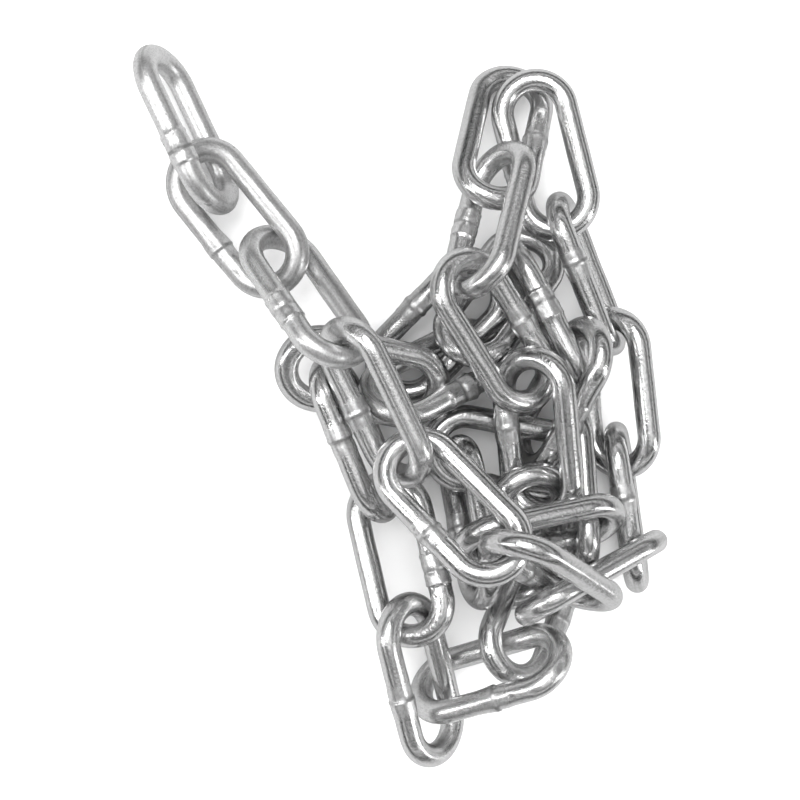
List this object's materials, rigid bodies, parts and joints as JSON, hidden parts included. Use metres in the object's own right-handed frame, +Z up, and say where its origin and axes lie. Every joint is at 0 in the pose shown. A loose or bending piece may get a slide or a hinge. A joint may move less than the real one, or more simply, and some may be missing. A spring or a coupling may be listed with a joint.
{
  "type": "heap of steel chain",
  "caption": "Loose heap of bright zinc-plated welded steel chain: one length of interlinked oval links of round wire, lying tangled on a level surface.",
  "frame": {"origin": "on the floor, under the middle of the heap's box", "axes": "+Z up; +Y towards the loop that reaches furthest from the heap's middle, +X to the right of it, seen from above; the chain's free end lies at -X, +Y"},
  "size_m": [0.113, 0.1512, 0.0443],
  "materials": {
    "zinc_plated_steel": "bright zinc plate over drawn wire, with fine draw lines, a butt weld on one long side, and light handling marks"
  },
  "bodies": {
    "root": {"link_01": "zinc_plated_steel", "link_02": "zinc_plated_steel", "link_03": "zinc_plated_steel", "link_04": "zinc_plated_steel", "link_05": "zinc_plated_steel", "link_06": "zinc_plated_steel", "link_07": "zinc_plated_steel", "link_08": "zinc_plated_steel", "link_09": "zinc_plated_steel", "link_10": "zinc_plated_steel", "link_11": "zinc_plated_steel", "link_12": "zinc_plated_steel", "link_13": "zinc_plated_steel", "link_14": "zinc_plated_steel", "link_15": "zinc_plated_steel", "link_16": "zinc_plated_steel", "link_17": "zinc_plated_steel", "link_18": "zinc_plated_steel", "link_19": "zinc_plated_steel", "link_20": "zinc_plated_steel", "link_21": "zinc_plated_steel", "link_22": "zinc_plated_steel", "link_23": "zinc_plated_steel", "link_24": "zinc_plated_steel", "link_25": "zinc_plated_steel", "link_26": "zinc_plated_steel", "link_27": "zinc_plated_steel", "link_28": "zinc_plated_steel", "link_29": "zinc_plated_steel", "link_30": "zinc_plated_steel", "link_31": "zinc_plated_steel"}
  },
  "joints": []
}
